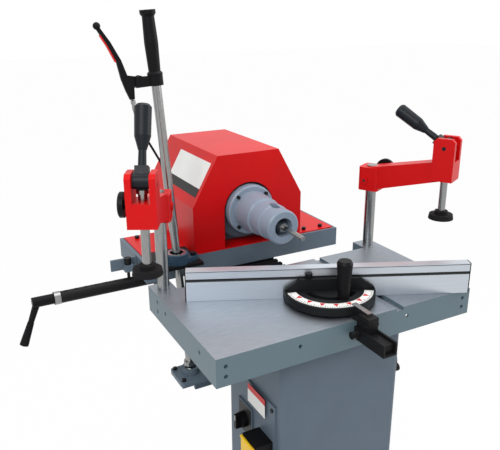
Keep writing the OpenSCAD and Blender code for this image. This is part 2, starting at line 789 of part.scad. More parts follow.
module nose() {
    f = flange_dia / 2;
    n = nose_dia / 2;
    throat = 24;
    color([0.55, 0.60, 0.66]) difference() {
        translate([0, motor_y0, axis_z]) rotate([90, 0, 0]) rotate_extrude() polygon([
            [spindle_dia / 2 + 9, 0], [f - 12, 0], [f - 12, 22], [f, 22], [f, 40], [f - 4, 44],
                [n + 9, 44], [n + 6, 110],
            [n + 2, 114], [n + 2, 158], [n, 162], [n, motor_y0 - nose_y - 4], [n - 4, motor_y0 - nose_y],
            [throat, motor_y0 - nose_y], [throat, motor_y0 - nose_y - 64],
                [spindle_dia / 2 + 9, motor_y0 - nose_y - 64]]);
        for (y = [nose_y + 34, nose_y + 52]) upright(0, y, axis_z + 20, axis_z + nose_dia, 9);
        box([-9, nose_y + 34, axis_z + 20], [9, nose_y + 52, axis_z + nose_dia]);
    }
}
module spindle_bearings() {
    color(steel) for (y = [nose_y + 68, motor_y0 - 24]) difference() {
        along_y(y, y + 18, 0, axis_z, spindle_dia / 2 + 9);
        along_y(y - 1, y + 19, 0, axis_z, spindle_dia / 2 + run);
    }
}
module spindle() {
    color(steel) along_y(nose_y + 56, motor_y1 + 12, 0, axis_z, spindle_dia / 2);
}
module chuck() {
    color(steel) translate([0, nose_y + 56, axis_z]) rotate([90, 0, 0]) {
        cylinder(h = 38, r = chuck_dia / 2);
        translate([0, 0, 38]) cylinder(h = 20, r1 = chuck_dia / 2, r2 = 11);
    }
}
module bit() {
    color(steel) along_y(nose_y - bit_l, nose_y - 2, 0, axis_z, bit_dia / 2);
}
module head_bolts() {
    head_r = 6;
    color(black) {
        for (p = [[-255, plate_y + plate_d - 30], [190, plate_y + 26], [246, plate_y + 26],
            [246, plate_y + plate_d - 30]])
            upright(p[0], p[1], hood_z, hood_z + 7, head_r);
        for (a = [45 : 90 : 315]) translate([cos(a) * 58, plate_y - 14, axis_z + sin(a) * 58])
            rotate([90, 0, 0])
            cylinder(h = 6, r = 4.5);
        for (s = [-1, 1]) upright(drive_x + s * unit_bolts / 2, drive_y, unit_z + 11, unit_z + 18, 8);
    }
}
module bearing_bracket() {
    y1 = wing_y - 1;
    x1 = -wing_x - 1;
    color(black) difference() {
        box([drive_x - 52, drive_y - 32, plate_top], [x1, y1, unit_z]);
        upright(drive_x, drive_y, plate_top - 1, unit_z + 1, 22);
    }
}
module bearing_unit() {
    color([0.16, 0.28, 0.38]) translate([drive_x, drive_y, unit_z]) difference() {
        union() {
            linear_extrude(11) {
                circle(30);
                for (s = [-1, 1]) translate([s * unit_bolts / 2, 0]) circle(12);
                polygon([[-unit_bolts / 2, -12], [0, -29], [unit_bolts / 2, -12], [unit_bolts / 2, 12],
                    [0, 29],
                    [-unit_bolts / 2, 12]]);
            }
            cylinder(h = 25, r = 29);
        }
        translate([0, 0, -1]) cylinder(h = 40, r = 23.5);
    }
}
module bearing_insert() {
    color(steel) translate([drive_x, drive_y, unit_z + 12]) difference() {
        cylinder(h = 14, r = 23.4);
        translate([0, 0, -1]) cylinder(h = 20, r = 17);
    }
}
module plunger_bracket() {
    x1 = plate_x - plate_l / 2;
    color(grey) difference() {
        union() {
            box([x1 - 68, index_y + 11, plate_top - 34], [x1, index_y + 17, plate_top - 4]);
            box([plunger_x - 11, index_y - 11, plate_top - 34],
                [plunger_x + 11, index_y + 11, plate_top - 16]);
        }
        upright(plunger_x, index_y, plate_top - 40, plate_top, pin_dia / 2 + run);
    }
}
module index_plunger() {
    color(black) {
        upright(plunger_x, index_y, index_z + index_dia / 2 + 0.5, plate_top - 4, pin_dia / 2);
        upright(plunger_x, index_y, plate_top - 16 + gap, plate_top + 2, 9);
    }
}

// Lever: a ball in the foot unit, the rod over it, grip and brake lever at the top
module lever_bracket() {
    z = pivot[2] - 6 - 12;
    color(grey) {
        box([pivot[0] - foot_side / 2 + 4, pivot[1] - foot_side / 2 + 4, z - 6],
            [-beam_w / 2, pivot[1] + foot_side / 2 - 4, z]);
        box([pivot[0] + 10, pivot[1] - 5, z - 44], [-beam_w / 2, pivot[1] + 5, z - 6]);
        box([-beam_w / 2 - 12, pivot[1] - foot_side / 2, z],
            [-beam_w / 2, pivot[1] + foot_side / 2, z + 100]);
    }
}
module foot_unit() {
    color(grey) translate([pivot[0], pivot[1], pivot[2] - 18]) difference() {
        union() {
            linear_extrude(12) rounded(foot_side, foot_side, 10);
            cylinder(h = 18 + cup_h, r = 23);
        }
        translate([0, 0, 2]) cylinder(h = 40, r = ball_r + gap);
        for (sx = [-1, 1], sy = [-1, 1]) translate([sx * 32, sy * 32, -1]) cylinder(h = 20, r = 6);
    }
}
module gimbal_ball() {
    color(steel) translate(pivot) sphere(ball_r);
}
module lever_place(h) { translate(pivot) rotate([0, -lever_lean, 0]) translate([0, 0, h]) children(); }
band_h = lever_l - grip_l - 1;
module lever_rod() {
    color(steel) difference() {
        lever_place(0) {
            cylinder(h = lever_l - 30, r = rod_dia / 2);
            translate([0, 0, drive_h + 60]) cylinder(h = lever_l - 30 - drive_h - 60, r = bar_dia / 2);
            translate([0, 0, 19]) cylinder(h = 13, r = 16, $fn = 6);
        }
        translate(pivot) sphere(ball_r + gap);
    }
}
module hand_grip() {
    color(black) lever_place(lever_l - grip_l) difference() {
        rotate_extrude() polygon([[bar_dia / 2, 0], [grip_dia / 2 + 2, 0], [grip_dia / 2 + 2, 4],
            [grip_dia / 2 - 2, 8],
            [grip_dia / 2, grip_l * 0.5], [grip_dia / 2 - 2, grip_l - 14], [grip_dia / 2 + 2, grip_l - 8],
            [grip_dia / 2 + 2, grip_l], [0, grip_l], [0, grip_l - 30], [bar_dia / 2, grip_l - 30]]);
    }
}
blade_x = -38;
blade_h = band_h - 6;
module brake_perch() {
    color(black) lever_place(band_h - 22) difference() {
        union() {
            cylinder(h = 22, r = bar_dia / 2 + 6);
            box([blade_x - 10, -7, 0], [-bar_dia / 2, 7, 22]);
            translate([blade_x, 0, 16]) rotate([90, 0, 0]) cylinder(h = 14, r = 10, center = true);
        }
        translate([0, 0, -1]) cylinder(h = 40, r = bar_dia / 2 + run);
        box([blade_x - 12, -3.5, 4], [blade_x + 14, 3.5, 30]);
        translate([blade_x, 0, 16]) rotate([90, 0, 0]) cylinder(h = 20, r = 3 + run, center = true);
    }
}
module brake_blade() {
    color(black) lever_place(blade_h) translate([blade_x, 0, 0]) {
        rotate([90, 0, 0]) cylinder(h = 14, r = 3, center = true);
        rotate([90, 0, 0]) cylinder(h = 6, r = 7, center = true);
        translate([0, 3, 0]) rotate([90, 0, 0]) linear_extrude(6)
            polygon([[5, -4], [5, 5], [-8, 9], [-26, 13], [-35, 46], [-53, 86], [-73, 120], [-80, 116],
                [-62, 81],
                [-46, 42], [-41, 6], [-34, -20], [-27, -40], [-16, -40], [-14, -16], [-6, -5]]);
        translate([-77, 0, 121]) sphere(8);
    }
}
// Route of the brake cable beside the bar, in the lever's own frame
cable_points = [[-59, 0, band_h - 47], [-57, 1, band_h - 85], [-44, 5, band_h - 125],
    [-22, 12, band_h - 170],
    [-6, 15, band_h - 205], [0, 14.5, band_h - 250], [0, 14.5, band_h - 350]];
cable_r = 3;
module brake_cable() {
    sides = 8;
    n = len(cable_points);
    ring = [for (p = cable_points, i = [0 : sides - 1])
        p + cable_r * [cos(i * 360 / sides), sin(i * 360 / sides), 0]];
    walls = [for (k = [0 : n - 2], i = [0 : sides - 1]) let (j = (i + 1) % sides)
        each [[k * sides + i, k * sides + j, (k + 1) * sides + i],
            [k * sides + j, (k + 1) * sides + j, (k + 1) * sides + i]]];
    caps = [[for (i = [sides - 1 : -1 : 0]) i], [for (i = [0 : sides - 1]) (n - 1) * sides + i]];
    color(black) lever_place(0) {
        polyhedron(ring, concat(walls, caps));
    }
}

base_plinth();
cabinet();
control_panel();
switch_box();
head_beam();
y_rails();
lever_bracket();
foot_unit();
lift_screw();
handwheel();
selector_knob();
switch_flap();
stop_button();
table_top();
guide_posts();
gauge_channel();
column_left();
column_right();
arm_left();
arm_right();
knob_left();
knob_right();
cam_left();
cam_right();
plunger_left();
plunger_right();
pad_left();
pad_right();
gauge_slide();
protractor();
fence();
lock_handle();
saddle();
way_cover();
x_rails();
index_bracket();
index_bar();
index_lever();
head_plate();
x_blocks();
hood_base();
hood();
motor();
nose();
spindle_bearings();
head_bolts();
bearing_bracket();
bearing_unit();
bearing_insert();
plunger_bracket();
index_plunger();
spindle();
chuck();
bit();
gimbal_ball();
lever_rod();
hand_grip();
brake_perch();
brake_blade();
brake_cable();
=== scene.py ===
"""Looks of the horizontal slot mortiser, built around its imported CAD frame. Metres, Z up."""
import json
import math

import bmesh
import bpy
from mathutils import Matrix, Vector


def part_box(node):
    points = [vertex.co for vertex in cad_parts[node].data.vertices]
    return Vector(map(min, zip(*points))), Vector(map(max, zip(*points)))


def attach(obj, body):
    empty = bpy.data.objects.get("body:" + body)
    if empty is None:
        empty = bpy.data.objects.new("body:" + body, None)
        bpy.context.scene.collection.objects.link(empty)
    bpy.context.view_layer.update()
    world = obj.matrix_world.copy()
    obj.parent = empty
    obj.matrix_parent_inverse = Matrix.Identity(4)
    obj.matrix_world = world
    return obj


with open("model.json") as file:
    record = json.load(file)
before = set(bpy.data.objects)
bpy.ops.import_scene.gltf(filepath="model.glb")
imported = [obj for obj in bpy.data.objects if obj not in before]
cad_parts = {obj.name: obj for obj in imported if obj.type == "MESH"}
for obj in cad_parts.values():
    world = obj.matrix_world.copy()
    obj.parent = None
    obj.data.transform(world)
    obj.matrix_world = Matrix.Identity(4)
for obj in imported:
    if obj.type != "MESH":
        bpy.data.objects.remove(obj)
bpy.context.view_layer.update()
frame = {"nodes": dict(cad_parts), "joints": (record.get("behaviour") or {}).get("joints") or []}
nodes = frame["nodes"]
scene = bpy.context.scene
MM = 0.001

# Camera that matches the photograph
CAMERA_POS = (-0.7358, -1.0733, 1.4321)
CAMERA_YAW = math.radians(27.99)
CAMERA_PITCH = math.radians(19.2)
CAMERA_ROLL = math.radians(0.37)
CAMERA_LENS = 44.52
CAMERA_SENSOR = 36

# Studio: light from the world, white that the camera sees, and lamps
WORLD_LIGHT = 0.52
WORLD_SEEN = 1.0
FLOOR_GLOW = 0.97
MACHINE_MIDDLE = (0, 0.1, 0.85)
LAMPS = (
    # name, position, size in metres, power in watts
    ("key", (-1.6, -1.4, 2.6), 1.6, 40),
    ("top", (0.4, 0.4, 3.0), 2.0, 30),
    ("rim", (1.9, -0.6, 1.7), 1.2, 16),
)

# Depth of the ground skin below the table's top
TOP_SKIN = 7.5 * MM


# Materials

def new_material(name):
    material = bpy.data.materials.new(name)
    material.use_nodes = True
    return material, material.node_tree, material.node_tree.nodes["Principled BSDF"]


def object_noise(tree, scale, stretch=(1, 1, 1), detail=3):
    """Noise laid in the part's own space."""
    place = tree.nodes.new("ShaderNodeTexCoord")
    mapping = tree.nodes.new("ShaderNodeMapping")
    mapping.inputs["Scale"].default_value = stretch
    noise = tree.nodes.new("ShaderNodeTexNoise")
    noise.inputs["Scale"].default_value = scale
    noise.inputs["Detail"].default_value = detail
    tree.links.new(place.outputs["Object"], mapping.inputs["Vector"])
    tree.links.new(mapping.outputs["Vector"], noise.inputs["Vector"])
    return noise.outputs["Fac"]


def ramp_between(tree, factor, low, high):
    ramp = tree.nodes.new("ShaderNodeValToRGB")
    ramp.color_ramp.elements[0].position = 0.3
    ramp.color_ramp.elements[1].position = 0.7
    ramp.color_ramp.elements[0].color = low
    ramp.color_ramp.elements[1].color = high
    tree.links.new(factor, ramp.inputs["Fac"])
    return ramp.outputs["Color"]


def shaded(color, factor):
    return tuple(min(1.0, c * factor) for c in color) + (1.0,)


def add_bump(tree, shader, height, strength, distance=0.0004):
    bump = tree.nodes.new("ShaderNodeBump")
    bump.inputs["Strength"].default_value = strength
    bump.inputs["Distance"].default_value = distance
    tree.links.new(height, bump.inputs["Height"])
    tree.links.new(bump.outputs["Normal"], shader.inputs["Normal"])


def paint(name, color, roughness=0.35, grain=0.06, coat=0.0, shine=0.25):
    """Sprayed paint or moulded plastic with a fine orange peel."""
    material, tree, shader = new_material(name)
    tone = object_noise(tree, 9)
    tint = ramp_between(tree, tone, shaded(color, 0.95), shaded(color, 1.05))
    tree.links.new(tint, shader.inputs["Base Color"])
    add_bump(tree, shader, object_noise(tree, 900), grain)
    shader.inputs["Roughness"].default_value = roughness
    shader.inputs["Specular IOR Level"].default_value = shine
    shader.inputs["Coat Weight"].default_value = coat
    shader.inputs["Coat Roughness"].default_value = 0.2
    return material


def metal(name, color, roughness=0.3, stretch=(1, 1, 1), scale=60, contrast=0.09):
    """Turned, ground or drawn metal: the grain runs where the stretch is small."""
    material, tree, shader = new_material(name)
    grain = object_noise(tree, scale, stretch, 4)
    tint = ramp_between(tree, grain, shaded(color, 1 - contrast), shaded(color, 1 + contrast))
    tree.links.new(tint, shader.inputs["Base Color"])
    add_bump(tree, shader, grain, 0.08, 0.0002)
    shader.inputs["Metallic"].default_value = 1.0
    shader.inputs["Roughness"].default_value = roughness
    return material


def table_finish(name, top_color, skirt_color, top_z):
    """Ground metal where the surface is the table's top, paint everywhere below it."""
    material, tree, shader = new_material(name)
    place = tree.nodes.new("ShaderNodeTexCoord")
    split = tree.nodes.new("ShaderNodeSeparateXYZ")
    above = tree.nodes.new("ShaderNodeMath")
    above.operation = "GREATER_THAN"
    above.inputs[1].default_value = top_z - TOP_SKIN
    tree.links.new(place.outputs["Object"], split.inputs["Vector"])
    tree.links.new(split.outputs["Z"], above.inputs[0])
    face = tree.nodes.new("ShaderNodeNewGeometry")
    facing = tree.nodes.new("ShaderNodeSeparateXYZ")
    up = tree.nodes.new("ShaderNodeMath")
    up.operation = "GREATER_THAN"
    up.inputs[1].default_value = 0.5
    tree.links.new(face.outputs["True Normal"], facing.inputs["Vector"])
    tree.links.new(facing.outputs["Z"], up.inputs[0])
    both = tree.nodes.new("ShaderNodeMath")
    both.operation = "MULTIPLY"
    tree.links.new(above.outputs[0], both.inputs[0])
    tree.links.new(up.outputs[0], both.inputs[1])
    mix = tree.nodes.new("ShaderNodeMix")
    mix.data_type = "RGBA"
    tree.links.new(both.outputs[0], mix.inputs["Factor"])
    mix.inputs["A"].default_value = (*skirt_color, 1)
    grain = object_noise(tree, 40, (1, 12, 1), 5)
    tint = ramp_between(tree, grain, shaded(top_color, 0.9), shaded(top_color, 1.07))
    tree.links.new(tint, mix.inputs["B"])
    tree.links.new(mix.outputs["Result"], shader.inputs["Base Color"])
    tree.links.new(both.outputs[0], shader.inputs["Metallic"])
    add_bump(tree, shader, grain, 0.05, 0.0002)
    shader.inputs["Roughness"].default_value = 0.42
    return material


RED = (0.60, 0.002, 0.003)
BLUE_GREY = (0.085, 0.115, 0.145)
BLACK = (0.006, 0.006, 0.007)
table_top_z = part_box("table_top")[1].z

red_paint = paint("red_paint", RED, 0.38, 0.05, 0.05, 0.18)
grey_paint = paint("grey_paint", BLUE_GREY, 0.5, 0.12)
plate_paint = paint("plate_paint", (0.115, 0.155, 0.195), 0.45, 0.1)
cabinet_paint = paint("cabinet_paint", (0.105, 0.14, 0.18), 0.5, 0.12)
table_metal = table_finish("table_metal", (0.31, 0.34, 0.38), (0.105, 0.16, 0.19), table_top_z)
steel = metal("steel", (0.30, 0.305, 0.30), 0.24, (4, 4, 1))
bearing_steel = metal("bearing_steel", (0.42, 0.44, 0.47), 0.25)
fence_alloy = metal("fence_alloy", (0.56, 0.60, 0.65), 0.38, (0.2, 1, 14), 30, 0.03)
nose_alloy = paint("nose_alloy", (0.24, 0.30, 0.38), 0.35, 0.04, 0.1)
blue_iron = paint("blue_iron", (0.03, 0.065, 0.105), 0.45, 0.1)
black_plastic = paint("black_plastic", BLACK, 0.4, 0.05, 0.0, 0.1)
black_steel = paint("black_steel", (0.008, 0.008, 0.009), 0.45, 0.08, 0.0, 0.15)
black_paint = paint("black_paint", (0.008, 0.009, 0.010), 0.5, 0.15, 0.0, 0.15)
slate_plastic = paint("slate_plastic", (0.010, 0.013, 0.017), 0.36, 0.04, 0.0, 0.15)
rubber = paint("rubber", (0.008, 0.008, 0.009), 0.75, 0.25, 0.0, 0.15)
yellow_plastic = paint("yellow_plastic", (0.83, 0.52, 0.012), 0.35, 0.03)
red_plastic = paint("red_plastic", (0.58, 0.008, 0.008), 0.35, 0.02)
white_print = paint("white_print", (0.80, 0.80, 0.78), 0.45, 0.01)
# Dark print for the ticks, the ruler and the label band; the same dark also paints the shade in the fence's
# grooves and in the bolt sockets
dark_print_and_painted_shade = paint("dark_print_and_painted_shade", (0.02, 0.02, 0.02), 0.5, 0.01)

FINISHES = {
    red_paint: ["arm_left", "arm_right", "hood_base", "hood"],
    cabinet_paint: ["base_plinth", "cabinet", "control_panel", "head_beam"],
    plate_paint: ["head_plate", "plunger_bracket", "lever_bracket", "foot_unit"],
    grey_paint: ["saddle", "index_bracket", "motor"],
    table_metal: ["table_top"],
    steel: ["y_rails", "lift_screw", "guide_posts", "column_left", "column_right", "plunger_left",
            "plunger_right", "x_rails", "spindle", "chuck", "bit", "gimbal_ball", "lever_rod"],
    bearing_steel: ["x_blocks", "spindle_bearings", "bearing_insert"],
    fence_alloy: ["fence"],
    nose_alloy: ["nose"],
    blue_iron: ["bearing_unit"],
    black_steel: ["gauge_channel", "gauge_slide", "index_bar", "head_bolts", "bearing_bracket",
                  "index_plunger"],
    black_paint: ["protractor"],
    black_plastic: ["switch_box", "handwheel", "selector_knob", "knob_left", "knob_right", "lock_handle",
                    "index_lever", "hand_grip", "brake_perch", "brake_blade"],
    slate_plastic: ["cam_left", "cam_right"],
    rubber: ["pad_left", "pad_right", "way_cover", "brake_cable"],
    yellow_plastic: ["switch_flap"],
    red_plastic: ["stop_button"],
}
for finish, names in FINISHES.items():
    for node_name in names:
        mesh = nodes[node_name].data
        mesh.materials.clear()
        mesh.materials.append(finish)


# Small pieces beside the solids

def add_piece(name, build, finish, body, place=Matrix.Identity(4)):
    """build fills a bmesh in the piece's own space; place puts it in the part's frame."""
    shape = bmesh.new()
    build(shape)
    mesh = bpy.data.meshes.new(name)
    shape.to_mesh(mesh)
    shape.free()
    mesh.transform(place)
    mesh.materials.append(finish)
    piece = bpy.data.objects.new(name, mesh)
    scene.collection.objects.link(piece)
    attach(piece, body)


def add_box(shape, low, high):
    size = [b - a for a, b in zip(low, high)]
    middle = [(a + b) / 2 for a, b in zip(low, high)]
    bmesh.ops.create_cube(shape, size=1, matrix=Matrix.Translation(middle) @ Matrix.Diagonal((*size, 1)))


def add_disc(shape, centre, radius, height, turn=Matrix.Identity(4), sides=40):
    """A cylinder that stands on centre, along the turned Z axis."""
    rise = Matrix.Translation((0, 0, height / 2))
    bmesh.ops.create_cone(shape, cap_ends=True, segments=sides, radius1=radius, radius2=radius, depth=height,
                          matrix=Matrix.Translation(centre) @ turn @ rise)


def add_prism(shape, outline, bottom, top):
    """A flat outline of (x, y) points, thickened from bottom to top."""
    lower = [shape.verts.new((x, y, bottom)) for x, y in outline]
    upper = [shape.verts.new((x, y, top)) for x, y in outline]
    shape.faces.new(list(reversed(lower)))
    shape.faces.new(upper)
    for i in range(len(outline)):
        j = (i + 1) % len(outline)
        shape.faces.new((lower[i], lower[j], upper[j], upper[i]))


def arc_points(radius, start, stop, steps):
    angles = [math.radians(start + (stop - start) * i / steps) for i in range(steps + 1)]
    return [(radius * math.cos(a), radius * math.sin(a)) for a in angles]


def disc_builder(centre, radius, height, turn, sides):
    def build(shape):
        add_disc(shape, centre, radius, height, turn, sides)
    return build


TO_LEFT = Matrix.Rotation(math.radians(-90), 4, "Y")
TO_RIGHT = Matrix.Rotation(math.radians(90), 4, "Y")
TO_FRONT = Matrix.Rotation(math.radians(90), 4, "X")
TO_BACK = Matrix.Rotation(math.radians(-90), 4, "X")

# Mitre gauge: the joint's own place and the fence's rest angle
joints = {j["name"]: j for j in frame["joints"]}
gauge_pivot = Vector(joints["gauge_swivel"]["pos_m"])
FENCE_ANGLE = math.radians(-24.6)
PROTRACTOR_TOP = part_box("protractor")[0].z + 18 * MM
gauge_place = (Matrix.Translation((gauge_pivot.x, gauge_pivot.y, PROTRACTOR_TOP))
               @ Matrix.Rotation(FENCE_ANGLE, 4, "Z"))
SCALE_IN, SCALE_OUT = 78 * MM, 98 * MM
SCALE_START, SCALE_STOP = -168, -12
PRINT = 0.4 * MM
FENCE_HALF, GROOVE_HALF, CAP_THICK = 318.5 * MM, 318 * MM, 2.5 * MM
WALL_KNOB_X, WALL_KNOB_Y = -47 * MM, -6 * MM
POINTER_HALF = 6 * MM


def build_scale(shape):
    outer = arc_points(SCALE_OUT, SCALE_START, SCALE_STOP, 60)
    inner = arc_points(SCALE_IN, SCALE_STOP, SCALE_START, 60)
    add_prism(shape, outer + inner, 0.05 * MM, 0.05 * MM + PRINT)


def build_ticks(shape):
    for angle in range(SCALE_START + 3, SCALE_STOP, 3):
        length = 9 * MM if angle % 15 == 0 else 5 * MM
        a = math.radians(angle)
        side = Vector((-math.sin(a), math.cos(a))) * 0.5 * MM
        out = Vector((math.cos(a), math.sin(a)))
        near, far = out * (SCALE_OUT - length), out * (SCALE_OUT - 1 * MM)
        add_prism(shape, [near - side, far - side, far + side, near + side], PRINT, 2 * PRINT)


def build_triangles(shape):
    for angle in range(-150, -29, 20):
        a = math.radians(angle)
        out = Vector((math.cos(a), math.sin(a)))
        side = Vector((-math.sin(a), math.cos(a))) * 6 * MM
        base, tip = out * (SCALE_IN + 2 * MM), out * (SCALE_IN + 14 * MM)
        add_prism(shape, [base - side, tip, base + side], PRINT, 2.2 * PRINT)


add_piece("scale_arc", build_scale, white_print, "gauge_head", gauge_place)
add_piece("scale_ticks", build_ticks, dark_print_and_painted_shade, "gauge_head", gauge_place)
add_piece("scale_triangles", build_triangles, red_plastic, "gauge_head", gauge_place)


def build_wall_knob(shape):
    """Stop knob on the protractor's back wall."""
    add_disc(shape, (WALL_KNOB_X, WALL_KNOB_Y, 27.8 * MM), 4 * MM, 5 * MM, sides=24)
    add_disc(shape, (WALL_KNOB_X, WALL_KNOB_Y, 32.5 * MM), 8 * MM, 8 * MM, sides=32)


def build_fence_ends(shape):
    """Plastic caps on the two ends of the fence's profile."""
    low, high = -21.8 * MM, 50 * MM
    for side in (-1, 1):
        inner = side * FENCE_HALF
        outer = inner + side * CAP_THICK
        add_box(shape, (min(inner, outer), 0.3 * MM, low), (max(inner, outer), 21.7 * MM, high))


def build_fence_lines(shape):
    """Shadow lines on the floors of the fence's two grooves."""
    for y, low, high in ((4.0, 24.2, 30.8), (1.0, 46.6, 47.9)):
        add_box(shape, (-GROOVE_HALF, (y - 0.4) * MM, low * MM), (GROOVE_HALF, (y + 0.1) * MM, high * MM))


def build_pointer(shape):
    """Pointer of the slide: a post on its block and a blade over the scale's edge."""
    block_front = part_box("gauge_slide")[0].y + 60 * MM
    blade_end = gauge_pivot.y - SCALE_OUT + 8 * MM
    left, right = gauge_pivot.x - POINTER_HALF, gauge_pivot.x + POINTER_HALF
    z = PROTRACTOR_TOP + 1.3 * MM
    add_box(shape, (left, block_front, z), (right, blade_end, z + 1.2 * MM))
    add_box(shape, (left, block_front, z - 6 * MM), (right, block_front + 14 * MM, z))


add_piece("fence_lines", build_fence_lines, dark_print_and_painted_shade, "gauge_head", gauge_place)
add_piece("gauge_pointer", build_pointer, steel, "gauge")
add_piece("wall_knob", build_wall_knob, black_plastic, "gauge_head", gauge_place)
add_piece("fence_ends", build_fence_ends, black_plastic, "gauge_head", gauge_place)

# Ruler beside the mitre slot
SLOT_X, SLOT_HALF = 117 * MM, 9.5 * MM
RULER_MARKS, RULER_START, RULER_STEP = 58, 8 * MM, 5 * MM
ruler_right = SLOT_X - SLOT_HALF - 2 * MM
table_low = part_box("table_top")[0]


def build_ruler(shape):
    top = table_top_z
    for i in range(RULER_MARKS):
        y = table_low.y + RULER_START + i * RULER_STEP
        length = 12 * MM if i % 2 == 0 else 7 * MM
        add_box(shape, (ruler_right - length, y, top), (ruler_right, y + 0.8 * MM, top + 0.15 * MM))


add_piece("table_ruler", build_ruler, dark_print_and_painted_shade, "table")

# Plain plate on the hood's left slope
SLOPE_FOOT_RISE, SLOPE_HEAD_X = 123 * MM, -89.5 * MM
BAND_LOW, LABEL_LOW, LABEL_HIGH, LABEL_THICK = 28 * MM, 52 * MM, 124 * MM, 0.8 * MM
hood_low, hood_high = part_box("hood")
label_front, label_back = hood_low.y + 14 * MM, hood_low.y + 215 * MM
slope_foot = Vector((hood_low.x, 0, hood_low.z + SLOPE_FOOT_RISE))
slope_head = Vector((SLOPE_HEAD_X, 0, hood_high.z))
slope = slope_head - slope_foot
slope_angle = math.atan2(slope.z, slope.x)


def build_label(shape):
    add_box(shape, (LABEL_LOW, label_front, 0), (LABEL_HIGH, label_back, LABEL_THICK))


def build_label_band(shape):
    add_box(shape, (BAND_LOW, label_front, 0), (LABEL_LOW, label_back, LABEL_THICK))


label_place = Matrix.Translation(slope_foot) @ Matrix.Rotation(-slope_angle, 4, "Y")
add_piece("hood_label", build_label, white_print, "head", label_place)
add_piece("hood_label_band", build_label_band, dark_print_and_painted_shade, "head", label_place)

# Panel: plate under the selector, bare sticker, screws
STICKER_FRONT, STICKER_BACK = -68 * MM, 12 * MM
STICKER_LOW, STICKER_MID, STICKER_HIGH = 574 * MM, 607 * MM, 622 * MM
PLATE_HALF_Y, PLATE_HALF_Z = 31 * MM, 39 * MM
panel_low, panel_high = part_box("control_panel")
knob_pos = Vector(joints["selector_turn"]["pos_m"])


def add_panel_sheet(shape, front, back, bottom, top):
    """A thin sheet on the panel's left face."""
    add_box(shape, (panel_low.x - 0.2 * MM, front, bottom), (panel_low.x + 0.1 * MM, back, top))


def build_panel_screws(shape):
    for y in (panel_low.y + 12 * MM, panel_high.y - 12 * MM):
        for z in (panel_low.z + 14 * MM, panel_high.z - 14 * MM):
            add_disc(shape, (panel_low.x + 5 * MM, y, z), 5 * MM, 2.5 * MM, TO_LEFT, 24)


def build_selector_plate(shape):
    add_panel_sheet(shape, knob_pos.y - PLATE_HALF_Y, knob_pos.y + PLATE_HALF_Y,
                    knob_pos.z - PLATE_HALF_Z, knob_pos.z + PLATE_HALF_Z)


def build_selector_mark(shape):
    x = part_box("selector_knob")[0].x
    add_box(shape, (x - 0.4 * MM, knob_pos.y - 1 * MM, knob_pos.z + 3 * MM),
            (x + 0.1 * MM, knob_pos.y + 1 * MM, knob_pos.z + 17 * MM))


def build_sticker(shape):
    add_panel_sheet(shape, STICKER_FRONT, STICKER_BACK, STICKER_LOW, STICKER_MID)


def build_sticker_band(shape):
    add_panel_sheet(shape, STICKER_FRONT, STICKER_BACK, STICKER_MID, STICKER_HIGH)


add_piece("panel_screws", build_panel_screws, black_steel, "base")
add_piece("selector_plate", build_selector_plate, dark_print_and_painted_shade, "base")
add_piece("panel_sticker", build_sticker, white_print, "base")
add_piece("panel_sticker_band", build_sticker_band, red_plastic, "base")
add_piece("selector_mark", build_selector_mark, white_print, "selector")

# Foot unit bolts
FOOT_BOLT_REACH = 32 * MM
foot_low, foot_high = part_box("foot_unit")
foot_mid = (foot_low + foot_high) / 2


def build_foot_bolts(shape):
    for x in (foot_mid.x - FOOT_BOLT_REACH, foot_mid.x + FOOT_BOLT_REACH):
        for y in (foot_mid.y - FOOT_BOLT_REACH, foot_mid.y + FOOT_BOLT_REACH):
            add_disc(shape, (x, y, foot_low.z), 5.5 * MM, 18 * MM)


add_piece("foot_bolts", build_foot_bolts, black_steel, "base")

# Adjuster of the brake cable and the red strip of the brake, along the lever
lever_pivot = Vector(joints["lever_fore"]["pos_m"])
LEVER_LEAN = math.radians(-4)
lever_turn = Matrix.Rotation(LEVER_LEAN, 4, "Y")
lever_place = Matrix.Translation(lever_pivot) @ lever_turn
brake_place = Matrix.Translation(joints["brake_pull"]["pos_m"]) @ lever_turn @ TO_FRONT
BAND_TOP = 779 * MM
ADJUSTER_X = -58.4 * MM


def build_adjuster(shape):
    for drop, radius, length in ((56, 5.6, 8), (70, 4.2, 14)):
        add_disc(shape, (ADJUSTER_X, 0, BAND_TOP - drop * MM), radius * MM, length * MM, sides=24)


def build_strip(shape):
    for outline in (((-46.5, 44.7), (-60.7, 79.4), (-63.2, 78.4), (-49.0, 43.7)),
                    ((-60.7, 79.4), (-72.6, 102.6), (-75.0, 101.4), (-63.2, 78.4))):
        add_prism(shape, [(x * MM, z * MM) for x, z in reversed(outline)], -3.4 * MM, 3.4 * MM)


add_piece("cable_adjuster", build_adjuster, steel, "lever", lever_place)
add_piece("brake_strip", build_strip, red_plastic, "brake", brake_place)

# Clamps: hub block on the cam, screw boss beside the column
HUB_HALF, HUB_DEPTH, HUB_LOW, HUB_HIGH = 13 * MM, 11 * MM, 4 * MM, 34 * MM
BOSS_X, BOSS_FACE, BOSS_Z = -9 * MM, 27 * MM, 27 * MM
HANDLE_LEANS = {"left": -26, "right": -58}


def build_hub(shape):
    add_box(shape, (-HUB_DEPTH, -HUB_HALF, HUB_LOW), (HUB_DEPTH, HUB_HALF, HUB_HIGH))


def build_hub_screw(shape):
    add_disc(shape, (HUB_DEPTH, 0, (HUB_LOW + HUB_HIGH) / 2), 4 * MM, 0.5 * MM, TO_RIGHT, 24)


